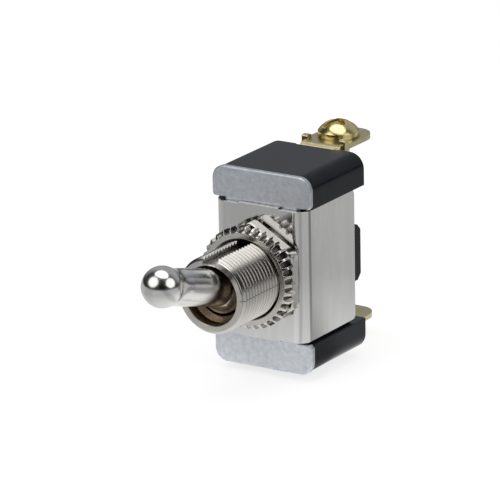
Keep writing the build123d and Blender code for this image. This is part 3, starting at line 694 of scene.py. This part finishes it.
class SWITCH_OT_bushing(bpy.types.Operator):
    """Build the threaded bushing with its keyway, bore and rear flange."""

    bl_idname = "toggle_switch.bushing"
    bl_label = "Threaded bushing"

    def execute(self, context):
        sizes = context.scene.switch_bushing
        low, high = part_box("bushing")
        flange_front = high.y - FLANGE_THICKNESS
        points, faces = [], []
        columns = thread_columns(points, sizes, low.y, flange_front)
        for a, b in zip(columns, columns[1:] + columns[:1]):
            for k in range(len(a) - 1):
                faces.append((a[k], b[k], b[k + 1], a[k + 1]))
        previous = [column[0] for column in columns]
        angles = [atan2(points[number][2], points[number][0]) for number in previous]
        groove_front = low.y + BALL_DEPTH - GROOVE_HALF
        for radius, place in bore_profile(sizes, low.y, high.y):
            ring = add_points(points, [bore_point(radius, place, angle, groove_front)
                                       for angle in angles])
            bridge(faces, previous, ring)
            previous = ring
        half_x, half_z = (high.x - low.x) / 2, (high.z - low.z) / 2
        outline = [rounded_box_point(angle, half_x, half_z, FLANGE_CORNER) for angle in angles]
        following = [column[-1] for column in columns]
        for place in (flange_front, high.y):
            ring = add_points(points, [(x, place, z) for x, z in outline])
            bridge(faces, following, ring)
            following = ring
        bridge(faces, following, previous)
        piece = mesh_object("bushing_threaded", points, faces, bpy.data.materials["Bright nickel"])
        face_outward(piece, THREAD_CREASE, WELD)
        piece.data.materials.append(bpy.data.materials["Bare brass bore"])
        dress_bore(piece.data, sizes.mouth_radius)
        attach(piece, "housing")
        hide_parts("bushing")
        return {"FINISHED"}


class SWITCH_OT_nuts(bpy.types.Operator):
    """Build the toothed face nut and the hexagonal nut with crisp edges."""

    bl_idname = "toggle_switch.nuts"
    bl_label = "Nuts"

    def execute(self, context):
        sizes = context.scene.switch_nuts
        for build, replaced in ((self.face_nut, "face_nut"), (self.hex_nut, "hex_nut")):
            piece = build(sizes, *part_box(replaced), bpy.data.materials["Nut nickel"])
            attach(piece, "housing")
            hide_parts(replaced)
        return {"FINISHED"}

    def face_nut(self, sizes, low, high, material):
        """Round nut with ridges about its rim, pockets darkened as painted shade and a bevelled
        front.
        """
        bore, bevel = sizes.bore_radius, sizes.bevel
        rim = (high.x - low.x) / 2 - RIM_GAP
        angles, depths = [], []
        for i in range(sizes.teeth):
            for phase, depth in TOOTH_STOPS:
                angles.append((i + phase) * 2 * pi / sizes.teeth)
                depths.append(depth * sizes.pocket_depth)
        rings = []
        for share in BEVEL_STOPS:
            edge = rim - bevel * (1 - share) ** BEVEL_CURVE
            rings.append((low.y + bevel * share, [min(edge, rim - depth) for depth in depths]))
        rings += [(high.y, [rim - depth for depth in depths]), (high.y, bore),
                  (low.y + FACE_COUNTERSINK, bore), (low.y, bore + FACE_COUNTERSINK)]
        piece = turned_tube("face_nut_toothed", angles, rings, material)
        # Outward-facing pocket floors get the darker nickel as painted shade.
        piece.data.materials.append(bpy.data.materials["Nut pocket shade"])
        dark_radius = rim - sizes.pocket_depth * DARK_SHARE
        for face in piece.data.polygons:
            middle, normal = face.center, face.normal
            reach = sqrt(middle.x ** 2 + middle.z ** 2)
            faces_out = normal.x * middle.x + normal.z * middle.z > DARK_TURN * reach
            if faces_out and reach < dark_radius and middle.y > low.y + DARK_START * bevel:
                face.material_index = 1
        return piece

    def hex_nut(self, sizes, low, high, material):
        """Six-sided nut with small bevels along its edges and rounded corners."""
        bore, edge = sizes.bore_radius, sizes.hex_edge
        half, corner = (high.x - low.x) / 2, (high.z - low.z) / 2
        angles = [side * pi / 3 + radians(turn) for side in range(6) for turn in HEX_TURNS]
        flats = [min(half / cos((angle + pi / 6) % (pi / 3) - pi / 6), corner - HEX_CORNER_GAP)
                 for angle in angles]
        front, rear = [], []
        for along, cut, drop in HEX_STOPS:
            radii = [min(flat - cut * edge, corner - drop) for flat in flats]
            front.append((low.y + along * edge, radii))
            rear.insert(0, (high.y - along * edge, radii))
        inside = [(high.y, bore + HEX_COUNTERSINK), (high.y - HEX_COUNTERSINK, bore),
                  (low.y + HEX_COUNTERSINK, bore), (low.y, bore + HEX_COUNTERSINK)]
        return turned_tube("hex_nut_crisp", angles, front + rear + inside, material)


class SWITCH_OT_neck(bpy.types.Operator):
    """Blend the lever's ball end into its shank with a smooth hollow."""

    bl_idname = "toggle_switch.neck"
    bl_label = "Lever neck"

    def execute(self, context):
        sizes = context.scene.switch_lever
        ball, bend, slope = sizes.tip_radius, sizes.blend, sizes.taper
        meeting = sqrt(ball ** 2 - sizes.neck_radius ** 2)
        steep = sqrt(1 + slope ** 2)
        base = sizes.neck_radius - slope * meeting + bend * steep
        root = (base * slope) ** 2 - steep ** 2 * (base ** 2 - (ball + bend) ** 2)
        if root < 0:
            raise RuntimeError("the neck's blend radius reaches neither the ball end nor the shank")
        along = (sqrt(root) - base * slope) / steep ** 2
        out = base + slope * along
        first = atan2(-out, -along)
        last = atan2(-1 / steep, slope / steep)
        tip_y = sizes.pivot_y - sizes.reach
        rings = []
        for i in range(NECK_ROWS + 1):
            turn = first + (last - first) * i / NECK_ROWS
            rings.append((tip_y + along + bend * cos(turn), out + bend * sin(turn) + NECK_PROUD))
        inner = sizes.neck_radius - NECK_SUNK
        rings += [(rings[-1][0], inner), (rings[0][0], inner)]
        angles = [2 * pi * i / NECK_SIDES for i in range(NECK_SIDES)]
        piece = turned_tube("lever_neck", angles, rings, bpy.data.materials["Polished chrome"])
        pivot = Matrix.Translation((0, sizes.pivot_y, 0))
        piece.data.transform(pivot @ Matrix.Rotation(-sizes.throw, 4, "X") @ pivot.inverted())
        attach(piece, "lever")
        return {"FINISHED"}


class SWITCH_OT_spring(bpy.types.Operator):
    """Copy the plunger's spring into a piece of its own that rides with the lever."""

    bl_idname = "toggle_switch.spring"
    bl_label = "Plunger spring"

    def execute(self, context):
        if not any(joint["name"] == "plunger_slide" for joint in frame["joints"]):
            raise RuntimeError("the frame has no joint named plunger_slide")
        source = frame["nodes"]["plunger_spring"]
        points = [source.matrix_world @ corner.co for corner in source.data.vertices]
        faces = [tuple(face.vertices) for face in source.data.polygons]
        piece = mesh_object("plunger_spring_coil", points, faces, bpy.data.materials["Plain steel"])
        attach(piece, "lever")
        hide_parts("plunger_spring")
        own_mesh(piece)
        return {"FINISHED"}


class SWITCH_OT_studio(bpy.types.Operator):
    """Set up the floor, the white background, the lamps and the camera."""

    bl_idname = "toggle_switch.studio"
    bl_label = "Studio"

    def execute(self, context):
        scene, studio = context.scene, context.scene.switch_studio
        corners = [(x * FLOOR_HALF, y * FLOOR_HALF, 0)
                   for x, y in ((-1, -1), (1, -1), (1, 1), (-1, 1))]
        floor = mesh_object("floor", corners, [(0, 1, 2, 3)], white_floor(studio.floor_colour))
        floor.location.z = cad_low.z - FLOOR_GAP
        white_surround(scene)
        middle = (cad_low + cad_high) / 2
        dim_walls(middle)
        for name, azimuth, elevation, width, height, radiance in SOFTBOXES:
            way = compass_way(radians(azimuth), radians(elevation))
            softbox(name, middle, way, width, height, radiance)
        aim_camera(scene, studio)
        scene.view_settings.view_transform = "Standard"
        return {"FINISHED"}


def compass_way(azimuth, elevation=0.0):
    """Direction out from the part; azimuth 0 is in front of it and a quarter turn to its right."""
    return Vector((sin(azimuth) * cos(elevation), -cos(azimuth) * cos(elevation), sin(elevation)))


def aim_camera(scene, studio):
    """Camera at the photograph's viewing angle, framed as the photograph is."""
    az, roll = studio.azimuth, studio.roll
    back_way = compass_way(az, studio.elevation)
    right = Vector((cos(az), sin(az), 0))
    up = back_way.cross(right)
    turned_right = right * cos(roll) + up * sin(roll)
    turned_up = up * cos(roll) - right * sin(roll)
    basis = Matrix((turned_right, turned_up, back_way)).transposed().to_4x4()
    data = bpy.data.cameras.new("camera")
    camera = bpy.data.objects.new("camera", data)
    scene.collection.objects.link(camera)
    spot = Vector(CAMERA_TARGET) + back_way * studio.distance
    camera.matrix_world = Matrix.Translation(spot) @ basis
    data.lens = studio.lens
    data.sensor_width = SENSOR_WIDTH
    data.shift_x = -(PHOTO_AXIS[0] - PHOTO_SIZE / 2) / PHOTO_SIZE
    data.shift_y = (PHOTO_AXIS[1] - PHOTO_SIZE / 2) / PHOTO_SIZE
    data.clip_start, data.clip_end = CLIP_START, CLIP_END
    scene.camera = camera


def white_surround(scene):
    """World that is white to the eye and in reflections, and lights the part softly."""
    world = bpy.data.worlds.new("White surround")
    scene.world = world
    world.use_nodes = True
    tree = world.node_tree
    back = tree.nodes["Background"]
    path = node(tree, "ShaderNodeLightPath").outputs
    seen = maths(tree, "MAXIMUM", path["Is Camera Ray"], path["Is Glossy Ray"])
    seen = maths(tree, "MAXIMUM", seen, path["Is Transmission Ray"])
    feed(tree, back.inputs["Strength"], remap(tree, seen, (0, 1), (WORLD_LEVEL, 1.0)))
    back.inputs["Color"].default_value = (1, 1, 1, 1)


def bare_material(name):
    """New material with its node tree and a lone output's surface socket."""
    material = bpy.data.materials.new(name)
    material.use_nodes = True
    material.node_tree.nodes.clear()
    surface = node(material.node_tree, "ShaderNodeOutputMaterial").inputs["Surface"]
    return material, material.node_tree, surface


def white_floor(colour):
    """Floor that is white to the eye, keeps the part's shadow and shows as bands in metal."""
    material, tree, surface = bare_material("White floor")
    path = node(tree, "ShaderNodeLightPath").outputs
    place = own_place(tree)
    reach = vector_maths(tree, "LENGTH", place)
    around = vector_maths(tree, "NORMALIZE", place)

    plain = node(tree, "ShaderNodeBsdfDiffuse", {"Color": (*colour, 1)})
    faint = node(tree, "ShaderNodeBsdfDiffuse", {"Color": (0.30, 0.30, 0.30, 1)})
    glow = node(tree, "ShaderNodeEmission", {"Color": (1, 1, 1, 1),
                                             "Strength": remap(tree, reach, EYE_SPAN, EYE_LEVELS)})
    lit = node(tree, "ShaderNodeAddShader", {0: faint.outputs[0], 1: glow.outputs[0]})
    seen = maths(tree, "MAXIMUM", path["Is Camera Ray"], path["Is Transmission Ray"])
    eye = node(tree, "ShaderNodeMixShader", {0: seen, 1: plain.outputs[0], 2: lit.outputs[0]})

    level = remap(tree, reach, MIRROR_SPAN, MIRROR_LEVELS)
    for bearing, start, middle in FLOOR_BANDS:
        along = vector_maths(tree, "DOT_PRODUCT", around, compass_way(radians(bearing)))
        band = remap(tree, along, (start, BAND_CORE), (1.0, middle), "SMOOTHSTEP")
        level = maths(tree, "MULTIPLY", level, band)
    sheen = node(tree, "ShaderNodeEmission", {"Color": (1, 1, 1, 1), "Strength": level})
    mirror = node(tree, "ShaderNodeMixShader", {0: path["Is Glossy Ray"], 1: eye.outputs[0],
                                                2: sheen.outputs[0]})
    feed(tree, surface, mirror.outputs[0])
    return material


def dim_walls(middle):
    """Dim studio walls that only show in polished surfaces."""
    points, faces, rings = [], [], []
    turns = [2 * pi * i / WALL_COLUMNS for i in range(WALL_COLUMNS)]
    for k in range(WALL_ROWS + 1):
        rise = pi / 2 * k / WALL_ROWS
        level, height = WALL_RADIUS * cos(rise), WALL_RADIUS * sin(rise)
        rings.append(add_points(points, [(level * cos(turn), level * sin(turn), height)
                                         for turn in turns]))
    for ring, following in zip(rings, rings[1:]):
        bridge(faces, ring, following)

    material, tree, surface = bare_material("Dim walls")
    direction = vector_maths(tree, "NORMALIZE", own_place(tree))
    parts = node(tree, "ShaderNodeSeparateXYZ", {"Vector": direction}).outputs
    toward = vector_maths(tree, "DOT_PRODUCT", direction, DARK_WAY)
    dark_spot = remap(tree, toward, DARK_SPAN, DARK_LEVELS)
    flat = vector_maths(tree, "MULTIPLY", direction, (1, 1, 0))
    bearing = vector_maths(tree, "NORMALIZE", flat)
    rearward = vector_maths(tree, "DOT_PRODUCT", bearing, REAR_WAY)
    rear_light = remap(tree, rearward, REAR_SPAN, REAR_LEVELS, "SMOOTHSTEP")
    glow = node(tree, "ShaderNodeEmission",
                {"Color": colour_ramp(tree, parts["Z"], WALL_SHADES),
                 "Strength": maths(tree, "MULTIPLY", dark_spot, rear_light)})
    feed(tree, surface, glow.outputs[0])

    walls = mesh_object("studio_walls", points, faces, material)
    walls.location = (middle.x, middle.y, cad_low.z)
    for hidden in ("visible_camera", "visible_diffuse", "visible_transmission", "visible_shadow",
                   "visible_volume_scatter"):
        setattr(walls, hidden, False)


def softbox(name, middle, way, width, height, radiance):
    """Oval lamp aimed at the part's middle from one direction."""
    data = bpy.data.lights.new(name, "AREA")
    data.shape = "ELLIPSE"
    data.size, data.size_y = width, height
    data.energy = radiance * width * height * pi
    lamp = bpy.data.objects.new(name, data)
    bpy.context.scene.collection.objects.link(lamp)
    lamp.location = middle + way * LAMP_DISTANCE
    lamp.rotation_mode = "QUATERNION"
    lamp.rotation_quaternion = way.to_track_quat("Z", "Y")


class SWITCH_PT_panel(bpy.types.Panel):
    """Sidebar panel with the switch's pieces."""

    bl_idname = "SWITCH_PT_panel"
    bl_label = "Toggle switch"
    bl_space_type = "VIEW_3D"
    bl_region_type = "UI"
    bl_category = "Toggle Switch"

    def draw(self, context):
        for step in STEPS:
            self.layout.operator(step.bl_idname)


GROUPS = {"switch_bushing": BushingSizes, "switch_nuts": NutSizes, "switch_lever": LeverSizes,
          "switch_finish": FinishColours, "switch_studio": StudioSettings}
STEPS = (SWITCH_OT_finishes, SWITCH_OT_bushing, SWITCH_OT_nuts, SWITCH_OT_neck, SWITCH_OT_spring,
         SWITCH_OT_studio)
CLASSES = (*GROUPS.values(), *STEPS, SWITCH_PT_panel)


def register():
    """Add the classes and put their settings on the scene."""
    for kind in CLASSES:
        bpy.utils.register_class(kind)
    for name, group in GROUPS.items():
        setattr(bpy.types.Scene, name, bpy.props.PointerProperty(type=group))


def unregister():
    """Take the settings and the classes away again."""
    for name in GROUPS:
        delattr(bpy.types.Scene, name)
    for kind in reversed(CLASSES):
        bpy.utils.unregister_class(kind)


def main():
    """Register the steps and build everything in order."""
    register()
    bpy.ops.toggle_switch.finishes()
    bpy.ops.toggle_switch.bushing()
    bpy.ops.toggle_switch.nuts()
    bpy.ops.toggle_switch.neck()
    bpy.ops.toggle_switch.spring()
    bpy.ops.toggle_switch.studio()


if __name__ == "__main__":
    main()
